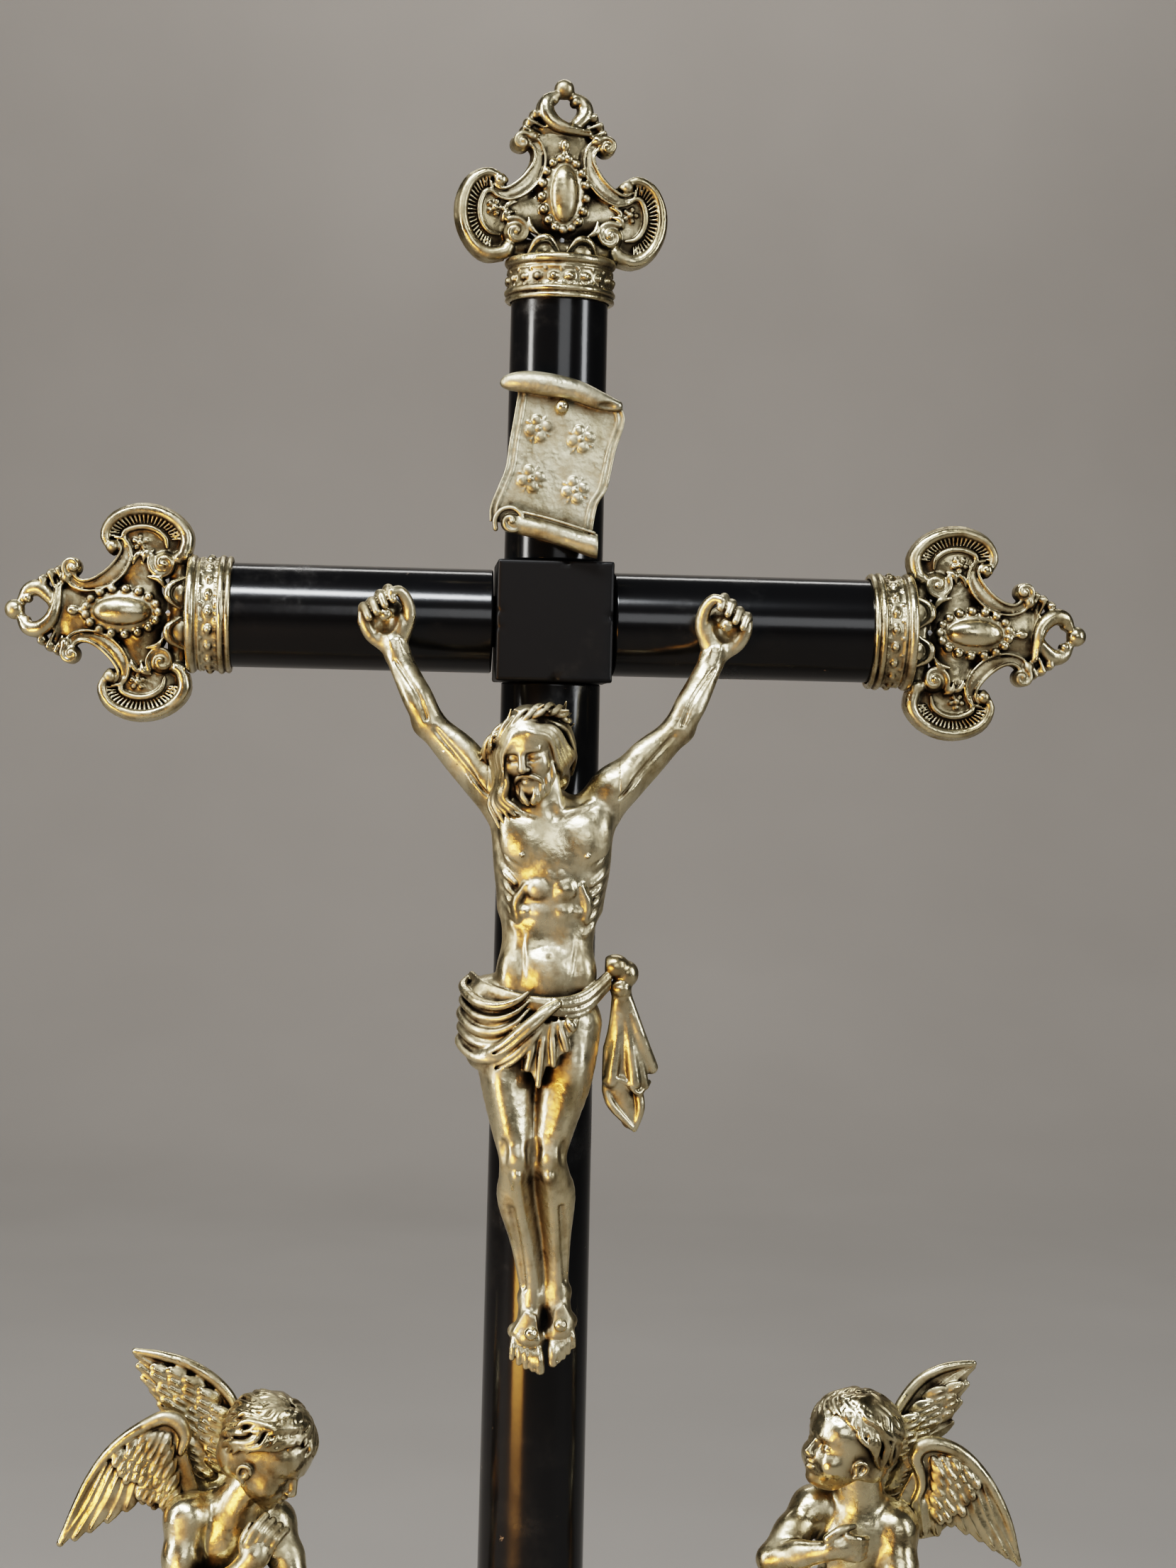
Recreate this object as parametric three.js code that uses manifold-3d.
// Head of a processional cross: round ebonised rods socketed into a centre block, cast openwork finials,
// a cast figure and scroll held by nails, and two winged angels kneeling on scroll brackets either side of
// the knop. A tapered ferrule under the knop slides over the staff and is locked by a thumb screw.
// Millimetres, +Z up, the cross faces -Y. The origin is the centre of the ferrule's mouth.
import * as THREE from "three";
import { ConvexGeometry } from "three/addons/geometries/ConvexGeometry.js";
import { mergeVertices } from "three/addons/utils/BufferGeometryUtils.js";
import Module from "manifold-3d";

const wasm = await Module();
wasm.setup();

// Driving dimensions
const CROSS_Z = 540; // height of the centre block's middle above the ferrule's mouth
const GAP = 0.3; // clearance between touching pieces
const BLOCK = { x: 40.4, y: 41, z: 42, bevel: 1.6 };
const TENON = { r: 9, length: 11 };
const ARM_R = 18.25; // the two side rods are straight
const UPPER_R = { foot: 17.4, tip: 17.0 }; // the upright tapers upwards
const SHAFT_R = { foot: 19.0, top: 17.5 };
const ROD_END = 126; // end of a rod, from the block's middle
const COLLAR = { start: 112, end: 127.5, band: 1.0, bead: 2.3 };
const FINIAL = { start: 127.8, tip: 191.2, thick: 7 };
const STUD = { r: 2, inRod: 12, inFinial: 9 };
const SHAFT_FOOT = -400; // the shaft's lower end, from the block's middle
const KNOP = { z: -430, r: 34, half: 26, wall: 2.2 };
const TIE_ROD_R = 4;
const FERRULE = { top: -472, bore: 16, mouthR: 20.5, topR: 23 };
const FERRULE_CAP = { foot: -478, r: 15.7 }; // the cap's spigot goes down inside the ferrule
const SCREW = { z: -508, r: 2.6, hole: 3.0, boss: 6 };
const PERCH = { x: 111, top: -390, rx: 26, ry: 21, thick: 4 }; // each angel kneels on one of these
const ROUND = 24; // sides of the larger turned pieces

const PALETTE = {
  ebonised: { color: 0x0c0b0b, roughness: 0.22, metalness: 0.0 },
  silvered: { color: 0xc9b98a, roughness: 0.3, metalness: 1.0 },
  steel: { color: 0x8d8f92, roughness: 0.45, metalness: 1.0 },
};
const materials = Object.fromEntries(
  Object.entries(PALETTE).map(([name, look]) => [name, new THREE.MeshStandardMaterial({ name, ...look })]),
);

// Solids

function solid(geometry) {
  const bare = new THREE.BufferGeometry();
  bare.setAttribute("position", geometry.getAttribute("position").clone());
  if (geometry.index) bare.setIndex(geometry.index.clone());
  const merged = mergeVertices(bare, 1e-4);
  const make = (triVerts) =>
    new wasm.Manifold(
      new wasm.Mesh({ numProp: 3, vertProperties: merged.attributes.position.array, triVerts }),
    );
  const triVerts = new Uint32Array(merged.index.array);
  const made = make(triVerts);
  if (made.volume() > 0) return made;
  for (let i = 0; i < triVerts.length; i += 3) {
    [triVerts[i + 1], triVerts[i + 2]] = [triVerts[i + 2], triVerts[i + 1]];
  }
  return make(triVerts);
}

function join(...solids) {
  return solids.flat().reduce((a, b) => a.add(b));
}

function geometryOf(made) {
  const { numProp, numVert, vertProperties, triVerts } = made.getMesh();
  const position = new Float32Array(numVert * 3);
  for (let i = 0; i < numVert; i++) {
    position.set(vertProperties.subarray(i * numProp, i * numProp + 3), i * 3);
  }
  const geometry = new THREE.BufferGeometry();
  geometry.setAttribute("position", new THREE.BufferAttribute(position, 3));
  geometry.setIndex(new THREE.BufferAttribute(triVerts, 1));
  geometry.computeVertexNormals();
  return geometry;
}

// A turned solid about the line through `at` along `axis`. The profile is [radius, distance along the axis].
function turned(profile, { axis = [0, 0, 1], at = [0, 0, 0], sides = ROUND } = {}) {
  const points = profile.map(([r, d]) => new THREE.Vector2(r, d));
  const geometry = new THREE.LatheGeometry(points, sides);
  const turn = new THREE.Quaternion().setFromUnitVectors(
    new THREE.Vector3(0, 1, 0),
    new THREE.Vector3(...axis).normalize(),
  );
  geometry.applyQuaternion(turn).translate(...at);
  return solid(geometry);
}

function cylinder(r, from, to, options) {
  return turned([[0, from], [r, from], [r, to], [0, to]], options);
}

function box(size, centre) {
  return solid(new THREE.BoxGeometry(...size).translate(...centre));
}

// Points over a ball, or over an ellipsoid when `r` has three numbers.
function ballPoints(centre, r, detail) {
  const [rx, ry, rz] = Array.isArray(r) ? r : [r, r, r];
  const ball = new THREE.IcosahedronGeometry(1, detail).getAttribute("position");
  return Array.from({ length: ball.count }, (_, i) =>
    new THREE.Vector3(
      centre[0] + rx * ball.getX(i),
      centre[1] + ry * ball.getY(i),
      centre[2] + rz * ball.getZ(i),
    ),
  );
}

// The convex skin round a list of [centre, radius] balls: a limb, a palm or a chest.
function hullOf(balls, detail = 0) {
  return solid(new ConvexGeometry(balls.flatMap(([centre, r]) => ballPoints(centre, r, detail))));
}

// A run of tapering limbs through [centre, radius] balls.
function chain(balls, detail = 0) {
  return join(balls.slice(1).map((ball, i) => hullOf([balls[i], ball], detail)));
}

// A plate with an [x, z] outline, standing in the XZ plane.
function flatPlate(points, thick) {
  const shape = new THREE.Shape(points.map(([x, z]) => new THREE.Vector2(x, z)));
  const plate = new THREE.ExtrudeGeometry(shape, { depth: thick, bevelEnabled: false });
  plate.rotateX(Math.PI / 2).translate(0, thick / 2, 0);
  return solid(plate);
}

const group = new THREE.Group();
const cross = new THREE.Group(); // heights inside it are measured from the centre block's middle
cross.position.z = CROSS_Z;
group.add(cross);

function piece(name, made, material) {
  const mesh = new THREE.Mesh(geometryOf(made), materials[material]);
  mesh.name = name;
  cross.add(mesh);
  return mesh;
}

// Ball-headed nails, each driven straight back (+Y) into a rod. `at` is [x, z] and `head` the ball's middle in y.

const NAILS = {
  scroll_nail: { at: [0.5, 73.5], head: -23.4, point: -9 },
  left_hand_nail: { at: [-58.6, 0.4], head: -29.5, point: -9 },
  right_hand_nail: { at: [58.6, -0.3], head: -29.5, point: -9 },
  left_foot_nail: { at: [-3.4, -244], head: -36.6, point: -9 },
  right_foot_nail: { at: [6.6, -241], head: -36.6, point: -9 },
};
const NAIL = { r: 1.2, head: 2.4 };

function nailSolid({ at: [x, z], head, point }) {
  const profile = [[0, head], [NAIL.r, head], [NAIL.r, point - 3], [NAIL.r * 0.5, point], [0, point]];
  const shank = turned(profile, { axis: [0, 1, 0], at: [x, 0, z], sides: 10 });
  return join(shank, hullOf([[[x, head, z], NAIL.head]]));
}

function nailHoles() {
  const holes = Object.values(NAILS).map(({ at: [x, z], head, point }) =>
    join(
      cylinder(NAIL.r + GAP, head, point + GAP, { axis: [0, 1, 0], at: [x, 0, z], sides: 10 }),
      hullOf([[[x, head, z], NAIL.head + GAP], [[x, head - 12, z], NAIL.head + GAP]]),
    ),
  );
  return join(holes);
}

// The cross: a centre block with four rods tenoned into it

const DIRECTIONS = { top: [0, 0, 1], left: [-1, 0, 0], right: [1, 0, 0] };
const BLOCK_REACH = { top: BLOCK.z / 2, left: BLOCK.x / 2, right: BLOCK.x / 2, bottom: BLOCK.z / 2 };

function centreBlock() {
  const { x, y, z, bevel: b } = BLOCK;
  const corners = [-1, 1].flatMap((i) =>
    [-1, 1].flatMap((j) =>
      [-1, 1].flatMap((k) => [
        [i * (x / 2 - b), j * (y / 2 - b), (k * z) / 2],
        [i * (x / 2 - b), (j * y) / 2, k * (z / 2 - b)],
        [(i * x) / 2, j * (y / 2 - b), k * (z / 2 - b)],
      ]),
    ),
  );
  const block = solid(new ConvexGeometry(corners.map((c) => new THREE.Vector3(...c))));
  const sockets = Object.entries({ ...DIRECTIONS, bottom: [0, 0, -1] }).map(([side, axis]) => {
    const reach = BLOCK_REACH[side];
    return cylinder(TENON.r + GAP, reach - TENON.length - GAP, reach + 1, { axis, sides: 20 });
  });
  return block.subtract(join(sockets));
}

// A rod from the block's face outwards, with its tenon and the blind hole for the finial's stud.
function rod(side, rFoot, rTip) {
  const axis = DIRECTIONS[side];
  const reach = BLOCK_REACH[side];
  const shoulder = reach + GAP;
  const outside = turned(
    [[0, reach - TENON.length], [TENON.r, reach - TENON.length], [TENON.r, shoulder], [rFoot, shoulder],
      [rTip, ROD_END], [0, ROD_END]],
    { axis },
  );
  const studHole = cylinder(STUD.r + GAP, ROD_END - STUD.inRod, ROD_END + 1, { axis, sides: 12 });
  return outside.subtract(join(studHole, nailHoles()));
}

// The embossed collar over a rod's end: two bead mouldings with a band between them.
function collar(side, rodR) {
  const { start, end, band, bead } = COLLAR;
  const inner = rodR + GAP;
  const outer = inner + band;
  const lip = inner + bead;
  return turned(
    [[inner, start], [lip - 0.6, start], [lip, start + 1.2], [outer, start + 2.8], [outer, end - 5],
      [lip - 0.3, end - 3.2], [lip, end - 1.4], [lip - 0.5, end], [inner, end], [inner, start]],
    { axis: DIRECTIONS[side] },
  );
}

// Half of a finial's outline, as [across, outward] from the collar's outer edge. The lobes are the lowest part.
const FINIAL_HALF = [
  [19.5, 0], [21.5, -1.5], [27, -3.2], [32, -1], [36, 5], [37.6, 13], [36, 21], [31.5, 27], [26, 28.5],
  [21.5, 27], [18.8, 23], [15.5, 22.5], [12.6, 26], [11.6, 30], [12.2, 34], [16, 34.5], [18.6, 37.5],
  [17.8, 41.5], [16.6, 44], [13, 48.5], [9.6, 53], [8, 56.2], [3.2, 57.2],
];

function finial(side) {
  const outline = [...FINIAL_HALF, ...FINIAL_HALF.map(([x, z]) => [-x, z]).reverse()];
  const plate = flatPlate(outline, FINIAL.thick);
  const base = cylinder(16, 0, 5, { sides: 20 });
  const tip = FINIAL.tip - FINIAL.start;
  const jewel = hullOf([[[0, -4, 22], [5, 5.5, 9.5]]], 1);
  const parts = [plate, base, jewel, hullOf([[[0, 0, tip - 3.6], 3.6]]), hullOf([[[0, -2, 7.5], [6, 5, 7]]])];
  for (const s of [-1, 1]) {
    parts.push(chain([[[s * 22, -1, 1.5], 4.4], [[s * 33, -2.2, 7], 3.8], [[s * 34.5, -2.2, 16], 3],
      [[s * 29, -2, 24.5], 3.6]]));
    parts.push(chain([[[s * 23, -2.5, 25], 3.4], [[s * 14, -2, 20.5], 3.2], [[s * 9.5, -2, 29], 2.6],
      [[s * 15, -2, 38], 3.4]]));
  }
  const opening = cylinder(3.1, -20, 20, { axis: [0, 1, 0], at: [0.6, 0, 49], sides: 14 });
  const hole = cylinder(STUD.r + GAP, -1, STUD.inFinial + GAP, { sides: 12 });
  const rodR = side === "top" ? UPPER_R.tip : ARM_R;
  const overCollar = cylinder(rodR + COLLAR.bead + 2 * GAP, -12, 0, { sides: 20 });
  const made = join(parts).subtract(opening).subtract(hole).subtract(overCollar);
  const placed = made.translate([0, 0, FINIAL.start]);
  return { top: placed, left: placed.rotate([0, -90, 0]), right: placed.rotate([0, 90, 0]) }[side];
}

piece("centre_block", centreBlock(), "ebonised");
for (const side of Object.keys(DIRECTIONS)) {
  const axis = DIRECTIONS[side];
  const upright = side === "top";
  piece(side + "_rod", rod(side, upright ? UPPER_R.foot : ARM_R, upright ? UPPER_R.tip : ARM_R), "ebonised");
  piece(side + "_collar", collar(side, upright ? UPPER_R.tip : ARM_R), "silvered");
  piece(side + "_finial", finial(side), "silvered");
  const stud = cylinder(STUD.r, ROD_END - STUD.inRod + GAP, FINIAL.start + STUD.inFinial, { axis, sides: 12 });
  piece(side + "_finial_stud", stud, "steel");
}

// The upright below the block, and the knop, ferrule and thumb screw under it

const SHAFT_TOP = -BLOCK.z / 2 - GAP;
const TENON_TOP = -BLOCK.z / 2 + TENON.length;
const KNOP_TOP = KNOP.z + KNOP.half;
const KNOP_FOOT = KNOP.z - KNOP.half;

function shaft() {
  const outside = turned([[0, SHAFT_FOOT], [SHAFT_R.foot, SHAFT_FOOT], [SHAFT_R.top, SHAFT_TOP],
    [TENON.r, SHAFT_TOP], [TENON.r, TENON_TOP], [0, TENON_TOP]]);
  return outside.subtract(cylinder(TIE_ROD_R + GAP, SHAFT_FOOT - 1, SHAFT_FOOT + 46, { sides: 16 }));
}

// A ring of mouldings that the shaft's foot sits in, closed below by a floor with a hole for the tie rod.
function shaftCup() {
  const inner = SHAFT_R.foot + GAP;
  const top = SHAFT_FOOT + 22;
  return turned([[TIE_ROD_R + GAP, SHAFT_FOOT - GAP - 0.1], [inner, SHAFT_FOOT - GAP - 0.1], [inner, top],
    [inner + 1.2, top], [inner + 3.2, top - 2], [inner + 3.2, top - 4], [inner + 1.4, top - 5.5],
    [inner + 1.4, top - 12], [inner + 4.4, top - 14], [inner + 4.4, top - 16.5], [inner + 1, top - 19],
    [inner - 1, KNOP_TOP + GAP], [TIE_ROD_R + GAP, KNOP_TOP + GAP], [TIE_ROD_R + GAP, SHAFT_FOOT - GAP - 0.1]]);
}

// One half of the hollow knop, from its seam to its end, with an end plate bored for the tie rod.
function knopShell(up) {
  const arc = (r, half) =>
    Array.from({ length: 6 }, (_, i) => {
      const a = (i / 5) * 1.12;
      return [r * Math.cos(a), KNOP.z + up * (half * Math.sin(a) * 1.11 + GAP / 2)];
    });
  const outer = arc(KNOP.r, KNOP.half);
  const inner = arc(KNOP.r - KNOP.wall, KNOP.half - KNOP.wall).reverse();
  const end = KNOP.z + up * KNOP.half;
  const plate = end - up * KNOP.wall;
  const bore = TIE_ROD_R + GAP;
  return turned([...outer, [outer.at(-1)[0] - 0.5, end], [bore, end], [bore, plate], ...inner, outer[0]]);
}

const BRANCH_STUD = { r: 2.5, inner: 6, outer: KNOP.r + 14 };

// The bore that both branches' studs share, straight through the knop.
function branchBore() {
  return cylinder(BRANCH_STUD.r + GAP, -60, 60, { axis: [1, 0, 0], at: [0, 0, KNOP.z], sides: 12 });
}

// The sleeve round the tie rod that keeps the knop's two shells apart and takes the branches' studs.
function knopSleeve() {
  const top = KNOP_TOP - KNOP.wall - GAP;
  const foot = KNOP_FOOT + KNOP.wall + GAP;
  return cylinder(13, foot, top).subtract(cylinder(TIE_ROD_R + GAP, foot - 1, top + 1, { sides: 16 }));
}

// The band over the knop's seam.
function knopBand() {
  const r = KNOP.r + GAP + 0.1;
  return turned([[r, KNOP.z - 4], [r + 2, KNOP.z - 4], [r + 3.4, KNOP.z - 1.5], [r + 3.4, KNOP.z + 1.5],
    [r + 2, KNOP.z + 4], [r, KNOP.z + 4], [r, KNOP.z - 4]]);
}

function ferrule() {
  const { top, bore, mouthR, topR } = FERRULE;
  const mouth = -CROSS_Z;
  const outside = turned([[0, mouth], [mouthR, mouth], [mouthR + 1.5, mouth + 1.5], [mouthR + 1.5, mouth + 6],
    [mouthR, mouth + 8], [topR, top - 4], [topR, top], [0, top]]);
  const boss = cylinder(SCREW.boss, 14, topR + 4, { axis: [0, 1, 0], at: [0, 0, SCREW.z], sides: 18 });
  const cuts = join(
    cylinder(bore, mouth - 1, top + 1, { sides: 32 }),
    cylinder(SCREW.hole, 0, 40, { axis: [0, 1, 0], at: [0, 0, SCREW.z], sides: 16 }),
  );
  return outside.add(boss).subtract(cuts);
}

// The cap between the knop and the ferrule. The tie rod's nut clamps it up against the knop.
function ferruleCap() {
  const { foot, r } = FERRULE_CAP;
  const flange = FERRULE.top + GAP;
  const flangeR = FERRULE.topR + 3;
  const neck = KNOP_FOOT - GAP;
  const outside = turned([[0, foot], [r, foot], [r, flange], [flangeR - 1, flange], [flangeR, flange + 1.2],
    [flangeR, flange + 3.6], [flangeR - 6, flange + 6.5], [flangeR - 9, neck - 3], [flangeR - 6, neck], [0, neck]]);
  return outside.subtract(cylinder(TIE_ROD_R + GAP, foot - 1, neck + 1, { sides: 16 }));
}

const NUT = { r: 7, height: 5 };

function thumbScrew() {
  const y0 = FERRULE.bore + 0.6;
  const neck = FERRULE.topR + 4.6;
  const axis = { axis: [0, 1, 0], at: [0, 0, SCREW.z], sides: 16 };
  const shank = turned([[0, y0], [SCREW.r - 0.8, y0], [SCREW.r, y0 + 1], [SCREW.r, neck], [5.4, neck],
    [5.4, neck + 2], [3.4, neck + 3.4], [3.4, neck + 6], [0, neck + 6]], axis);
  const wings = [-1, 1].map((s) => hullOf([
    [[s * 3.4, neck + 4.6, SCREW.z], 1.5],
    [[s * 10, neck + 9, SCREW.z], [3.8, 1.3, 3.8]],
  ]));
  return join(shank, wings);
}

piece("shaft", shaft().subtract(nailHoles()), "ebonised");
piece("shaft_cup", shaftCup(), "silvered");
piece("knop_upper_shell", knopShell(1).subtract(branchBore()), "silvered");
piece("knop_lower_shell", knopShell(-1).subtract(branchBore()), "silvered");
piece("knop_band", knopBand().subtract(branchBore()), "silvered");
piece("knop_sleeve", knopSleeve().subtract(branchBore()), "steel");
piece("ferrule", ferrule(), "silvered");
piece("ferrule_cap", ferruleCap(), "silvered");
const tieRodFoot = FERRULE_CAP.foot - NUT.height - 2;
piece("tie_rod", cylinder(TIE_ROD_R, tieRodFoot, SHAFT_FOOT + 44, { sides: 16 }), "steel");
const nutFoot = FERRULE_CAP.foot - GAP - NUT.height;
const nut = cylinder(NUT.r, nutFoot, nutFoot + NUT.height, { sides: 6 });
const nutBore = cylinder(TIE_ROD_R + GAP, nutFoot - 1, FERRULE_CAP.foot, { sides: 16 });
piece("tie_rod_nut", nut.subtract(nutBore), "steel");
piece("thumb_screw", thumbScrew(), "silvered");

// The title scroll, nailed to the upright above the block

const SCROLL = {
  back: -18,
  front: -21,
  outline: [[-19.5, 81], [-6, 80], [8, 76.5], [21, 70], [19.5, 60], [14.5, 48], [14, 36], [15.8, 26],
    [2, 27.5], [-12, 30], [-23, 31.5], [-19, 42], [-19.5, 54], [-24, 66]],
  topRoll: [[-19, 80.5], [-4, 79.6], [9, 76], [20.5, 70.5]],
  footRoll: [[-21, 32.5], [-8, 30], [4, 28], [14.5, 26.5]],
};

function titleScroll() {
  const plate = flatPlate(SCROLL.outline, SCROLL.back - SCROLL.front);
  const roll = (points, r) => chain(points.map(([x, z]) => [[x, SCROLL.front - 0.4, z], r]));
  const rosette = ([x, z]) => hullOf([[[x, SCROLL.front, z], [3, 1.3, 3]]], 1);
  const made = join(
    plate.translate([0, (SCROLL.back + SCROLL.front) / 2, 0]),
    roll(SCROLL.topRoll, 3.2),
    roll(SCROLL.footRoll, 3.4),
    [[-11, 60], [7, 56], [-11, 45], [6, 42]].map(rosette),
  );
  return made.subtract(cylinder(UPPER_R.foot + GAP, 0, 120)).subtract(nailHoles());
}

piece("title_scroll", titleScroll(), "silvered");

// The cast figure. Left and right are the viewer's. The arms and the drape's end are cast apart and pegged on.

const SHOULDER_X = 22.5; // the planes where the arms join the body
const DRAPE_X = 19.2;
const PEG_R = 1.8;
const ARM_BALLS = {
  left: [[[-19, -33, -58.5], 7], [[-31, -31, -49], 6], [[-44, -29, -37], 5.6], [[-53, -26, -17], 4.4],
    [[-56.5, -24, -7], 3.8], [[-58.5, -23.5, 1], [5.2, 5, 5.5]], [[-59, -27.5, 11], 3]],
  right: [[[19, -33, -59.5], 7], [[30, -31, -49], 6], [[42, -29, -36], 5.6], [[52, -26, -17], 4.4],
    [[56, -24, -7], 3.8], [[58.5, -23.5, 0], [5.2, 5, 5.5]], [[57.5, -27.5, 10], 3]],
};

// The rods' outsides plus the clearance: cut out of everything that is fastened against them.
function rodClearance() {
  return join(
    cylinder(ARM_R + GAP, -ROD_END, ROD_END, { axis: [1, 0, 0], sides: 32 }),
    turned([[0, SHAFT_FOOT], [SHAFT_R.foot + GAP, SHAFT_FOOT], [SHAFT_R.top + GAP, 0], [0, 0]], { sides: 32 }),
    box([BLOCK.x + 2 * GAP, BLOCK.y + 2 * GAP, BLOCK.z + 2 * GAP], [0, 0, 0]),
  );
}

function shoulderPeg(s, clearance) {
  return cylinder(PEG_R + clearance, SHOULDER_X - 8 - clearance, SHOULDER_X + 3,
    { axis: [s, 0, 0], at: [0, -33, -60], sides: 10 });
}

function drapePeg(clearance) {
  return cylinder(PEG_R + clearance, DRAPE_X - 7 - clearance, DRAPE_X + 3,
    { axis: [1, 0, 0], at: [0, -33, -122], sides: 10 });
}

function corpusBody() {
  const made = join(
    hullOf([[[-8, -43, -45], [11, 12, 14]]], 1),
    chain([[[-8, -50, -58], 5.5], [[-3, -38, -62], 7]]),
    chain([[[-15, -41, -48], 7], [[-19, -37, -64], 4]]),
    hullOf([[[-17, -33, -60], 7], [[17, -33, -61], 7], [[-9, -36, -80], 11.5], [[9, -36, -80], 11.5]]),
    hullOf([[[-9, -35, -80], 10.5], [[10, -35, -80], 10.5], [[-1, -34, -103], [16.5, 10.5, 9]]]),
    hullOf([[[-1, -34, -103], [16, 10.5, 9]], [[-5, -34, -127], [21, 12.5, 10]]]),
    hullOf([[[-6, -34, -127], [21, 13, 9]], [[-10, -37, -149], [15, 13, 8]], [[4, -34, -144], [12, 11, 8]]]),
    chain([[[-12, -37, -145], 11], [[-9, -42, -182], 8.2], [[-10, -34, -202], 8], [[-6, -28, -236], 5],
      [[-4, -30, -247], 5.4], [[-3, -31, -256], 4]]),
    chain([[[5, -36, -145], 11], [[1, -41, -182], 8.2], [[5, -33, -202], 7.6], [[5, -28, -235], 5],
      [[6.5, -30, -243], 5.4], [[9, -31, -250], 4]]),
  );
  const beyondShoulders = [-1, 1].map((s) => box([20, 60, 60], [s * (SHOULDER_X - GAP + 10), -33, -60]));
  const beyondDrape = box([20, 60, 40], [DRAPE_X - GAP + 10, -33, -125]);
  const holes = [shoulderPeg(-1, GAP), shoulderPeg(1, GAP), drapePeg(GAP)];
  return made.subtract(join(rodClearance(), nailHoles(), beyondShoulders, beyondDrape, holes));
}

function corpusArm(side) {
  const s = side === "left" ? -1 : 1;
  const withinShoulder = box([30, 60, 60], [s * (SHOULDER_X - 15), -33, -60]);
  const arm = chain(ARM_BALLS[side]).subtract(join(withinShoulder, rodClearance(), nailHoles()));
  return arm.add(shoulderPeg(s, 0));
}

function loinclothDrape() {
  const folds = join(
    hullOf([[[24, -34, -120], 5], [[25, -33, -130], 5]]),
    hullOf([[[25, -33, -125], 5], [[22, -31, -156], 4], [[33, -30, -156], 3.6]]),
    hullOf([[[24, -31, -150], 4.4], [[33, -30, -156], 3.6], [[30, -30, -171], 3]]),
  );
  return folds.subtract(join(box([20, 60, 80], [DRAPE_X - 10, -33, -130]), rodClearance())).add(drapePeg(0));
}

piece("corpus_body", corpusBody(), "silvered");
piece("corpus_left_arm", corpusArm("left"), "silvered");
piece("corpus_right_arm", corpusArm("right"), "silvered");
piece("loincloth_drape", loinclothDrape(), "silvered");
for (const [name, nail] of Object.entries(NAILS)) piece(name, nailSolid(nail), "silvered");

// The scroll branches beside the knop, each with a perch and a kneeling angel

const SIDES = { left: -1, right: 1 };
const BRANCH_PATH = [[[48, -430], 6], [[58, -441], 5.4], [[72, -447], 5], [[86, -444], 4.8], [[97, -434], 4.6],
  [[103, -421], 4.4], [[106, -407], 4.4], [[108, -396], 6]];
const BRANCH_CURL = [[[72, -447], 4.4], [[66, -433], 3.8], [[72, -424], 3.4], [[79, -427], 4.2]];
const ANGEL_STUD = { r: 2.4, x: PERCH.x - 2, down: 9, up: 14 };

// The studs' space in a side's branch and angel, or the studs themselves when there is no clearance.
function branchStud(s, clearance) {
  const { r, inner, outer } = BRANCH_STUD;
  return cylinder(r + clearance, inner, outer + clearance, { axis: [s, 0, 0], at: [0, 0, KNOP.z], sides: 12 });
}

function angelStud(s, clearance) {
  const { r, x, down, up } = ANGEL_STUD;
  return cylinder(r + clearance, PERCH.top - down - clearance, PERCH.top + up + clearance,
    { at: [s * x, 0, 0], sides: 12 });
}

function branch(s) {
  const along = (path) => chain(path.map(([[x, z], r]) => [[s * x, 0, z], r]));
  const face = KNOP.r + 4.1 + GAP; // just outside the knop's band
  const rose = cylinder(9, face, face + 5, { axis: [s, 0, 0], at: [0, 0, KNOP.z], sides: 20 });
  const perch = cylinder(1, PERCH.top - PERCH.thick, PERCH.top, { sides: 32 })
    .scale([PERCH.rx, PERCH.ry, 1])
    .translate([s * PERCH.x, 0, 0]);
  const made = join(rose, perch, along(BRANCH_PATH), along(BRANCH_CURL));
  const above = box([80, 60, 30], [s * PERCH.x, 0, PERCH.top + 15]);
  const inside = box([60, 60, 60], [s * (face - 30), 0, KNOP.z]);
  return made.subtract(join(above, inside, branchStud(s, GAP), angelStud(s, GAP)));
}

// Each angel in its own pose, as [centre, radius] balls on the +X side. The left one bows, the right looks up.
const ANGELS = {
  left: {
    shift: [0, 0, 0],
    head: [[92, -4, -291], [18.5, 17.5, 18.5]],
    neck: [[[97, -3, -302], 9], [[105, 0, -316], 9]],
    chest: [[[117, -5, -318], 9.5], [[93, 5, -321], 9], [[109, 0, -350], [16, 13.5, 10]]],
    nearArm: [[[121, -8, -318], 8.6], [[123, -12, -343], 7], [[106, -22, -336], 5.4], [[95, -22, -322], 5]],
    farArm: [[[90, 5, -321], 8], [[82, -4, -342], 6.6], [[100, -19, -341], 5]],
  },
  right: {
    shift: [13, 0, -5],
    head: [[112, -2, -285.5], [17.5, 17, 17.5]],
    neck: [[[116, -1, -298], 9], [[119, 1, -314], 9]],
    chest: [[[127, -5, -320], 9.5], [[105, 6, -316], 9], [[112, 0, -350], [16, 13.5, 10]]],
    nearArm: [[[131, -7, -321], 8.6], [[131, -12, -345], 7], [[112, -22, -343], 5.4]],
    farArm: [[[101, 4, -315], 8], [[85, -10, -327], 6.4], [[110, -21, -322], 5]],
  },
};
const NEAR_WING = {
  y: 5,
  screw: [121, -316],
  outline: [[117, -322], [118, -308], [123, -294], [130, -282], [137, -284], [147, -291.5], [156, -304],
    [162, -317], [166.8, -329.4], [161, -327], [146, -317], [139, -313.5], [131, -319]],
};
const FAR_WING = {
  y: 14,
  screw: [112, -315.5],
  outline: [[106, -322], [109, -300], [103.5, -282], [112, -271.5], [124, -264.3], [142.6, -261.3], [139, -272],
    [131, -286], [127, -300], [119, -322]],
};
const WING = { thick: 3, screwR: 1.5, screwReach: 9, head: 3 };

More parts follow.
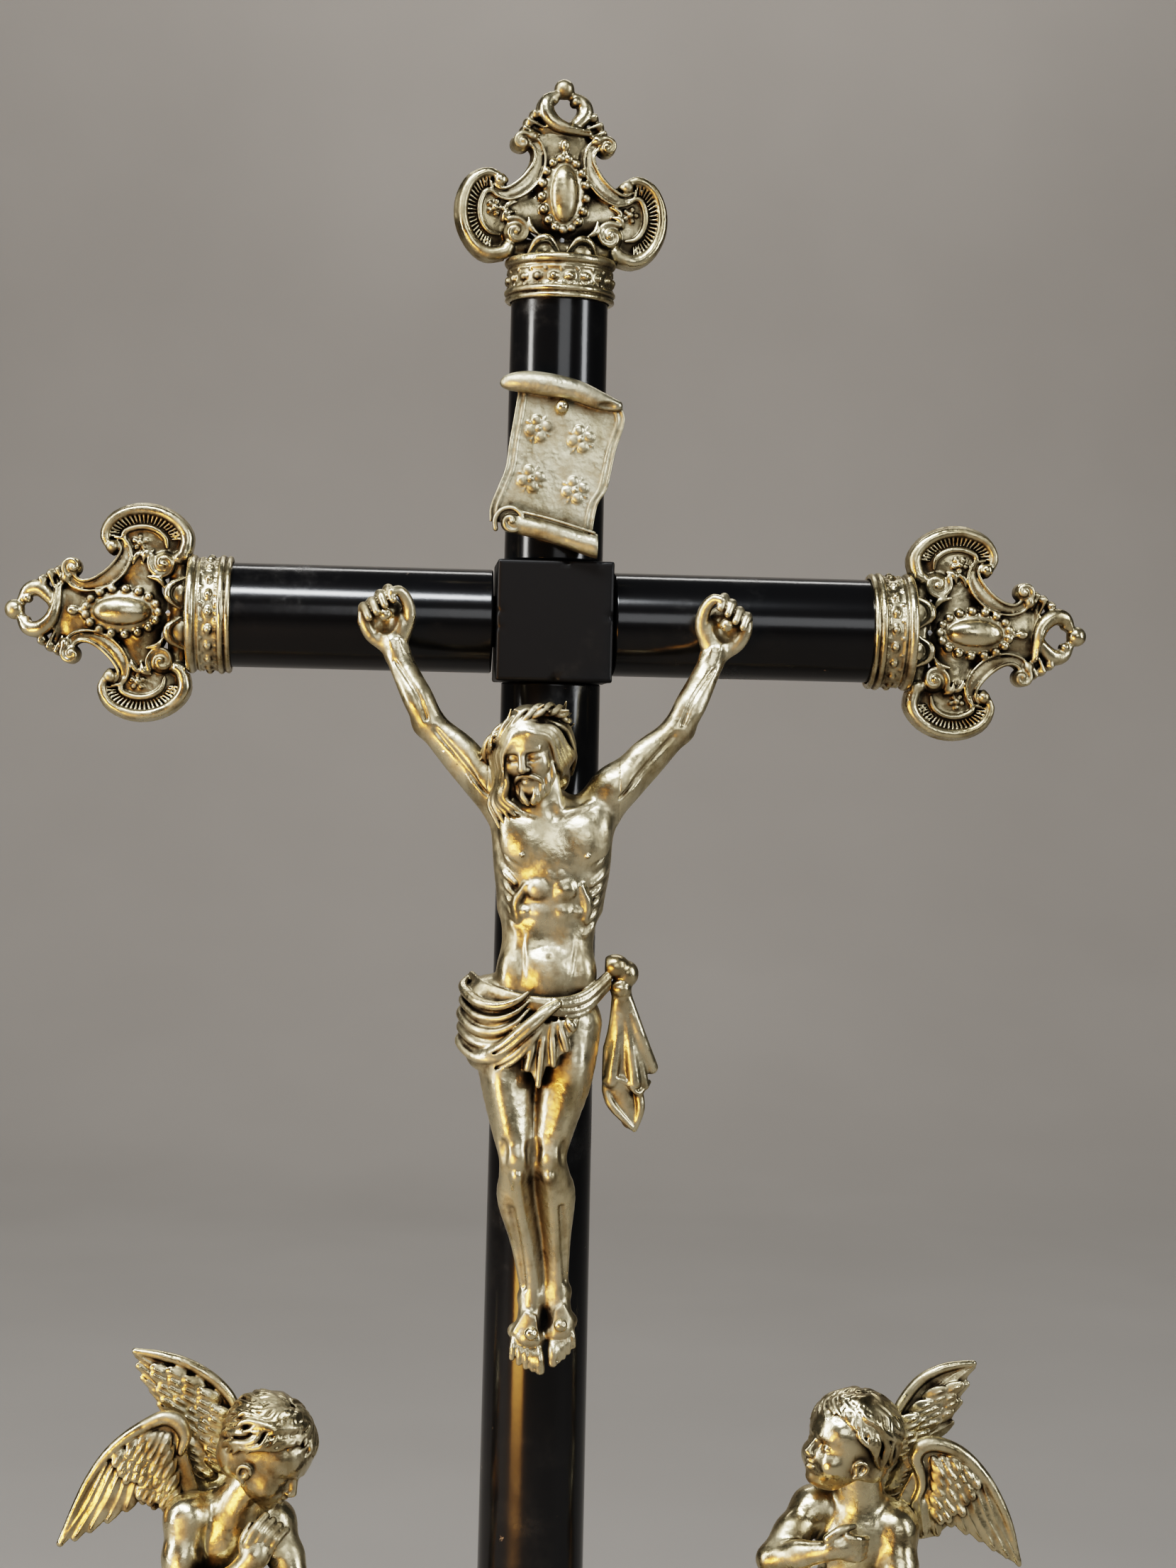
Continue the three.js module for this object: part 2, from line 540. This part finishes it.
function wing(s, { y, screw, outline }, [dx, , dz]) {
  const plate = flatPlate(outline.map(([x, z]) => [s * (x + dx), z + dz]), WING.thick).translate([0, y, 0]);
  const [x, z] = screw;
  const at = [s * (x + dx), 0, z + dz];
  return plate.subtract(cylinder(WING.screwR + GAP, y - 10, y + 10, { axis: [0, 1, 0], at, sides: 10 }));
}

function wingScrew(s, { y, screw }, [dx, , dz]) {
  const back = y + WING.thick / 2 + GAP;
  const profile = [[0, back - WING.screwReach], [WING.screwR, back - WING.screwReach], [WING.screwR, back],
    [WING.head, back], [WING.head - 1, back + 1.6], [0, back + 1.8]];
  return turned(profile, { axis: [0, 1, 0], at: [s * (screw[0] + dx), 0, screw[1] + dz], sides: 10 });
}

// The flat seat for a wing's root and the blind hole for its screw.
function wingSeat(s, { y, screw, outline }, [dx, , dz]) {
  const front = y - WING.thick / 2 - GAP;
  const inner = Math.min(...outline.map(([x]) => x)) - GAP;
  const seat = box([60, 40, 80], [s * (inner + dx + 30), front + 20, screw[1] + dz + 33]);
  const hole = cylinder(WING.screwR + GAP, front - WING.screwReach, y, {
    axis: [0, 1, 0], at: [s * (screw[0] + dx), 0, screw[1] + dz], sides: 10 });
  return join(seat, hole);
}

function angel(s, pose) {
  const mirror = ([[x, y, z], r]) => [[s * x, y, z], r];
  const { head, neck, chest, nearArm, farArm, shift } = pose;
  const hips = chest[2];
  const kneeling = [[[104, -12, -382], 8], [[97, 4, -382], 8], [[124, 4, -383], 7], [[119, 12, -383], 6]];
  const made = join(
    hullOf([mirror(head)], 1),
    chain(neck.map(mirror)),
    hullOf(chest.map(mirror)),
    hullOf([hips, ...kneeling].map(mirror)),
    chain(nearArm.map(mirror)),
    chain(farArm.map(mirror)),
    hullOf([mirror([[chest[0][0][0] - 3, 4, -322], 9]), mirror([[chest[0][0][0] - 10, 4, -322], 9])]),
  );
  const below = box([120, 80, 40], [s * PERCH.x, 0, PERCH.top + GAP - 20]);
  const cuts = join(below, angelStud(s, GAP), wingSeat(s, NEAR_WING, shift), wingSeat(s, FAR_WING, shift));
  return made.subtract(cuts);
}

for (const [side, s] of Object.entries(SIDES)) {
  const pose = ANGELS[side];
  piece(side + "_branch", branch(s), "silvered");
  piece(side + "_branch_stud", branchStud(s, 0), "steel");
  piece(side + "_angel", angel(s, pose), "silvered");
  piece(side + "_angel_stud", angelStud(s, 0), "steel");
  piece(side + "_near_wing", wing(s, NEAR_WING, pose.shift), "silvered");
  piece(side + "_far_wing", wing(s, FAR_WING, pose.shift), "silvered");
  piece(side + "_near_wing_screw", wingScrew(s, NEAR_WING, pose.shift), "steel");
  piece(side + "_far_wing_screw", wingScrew(s, FAR_WING, pose.shift), "steel");
}

export default group;
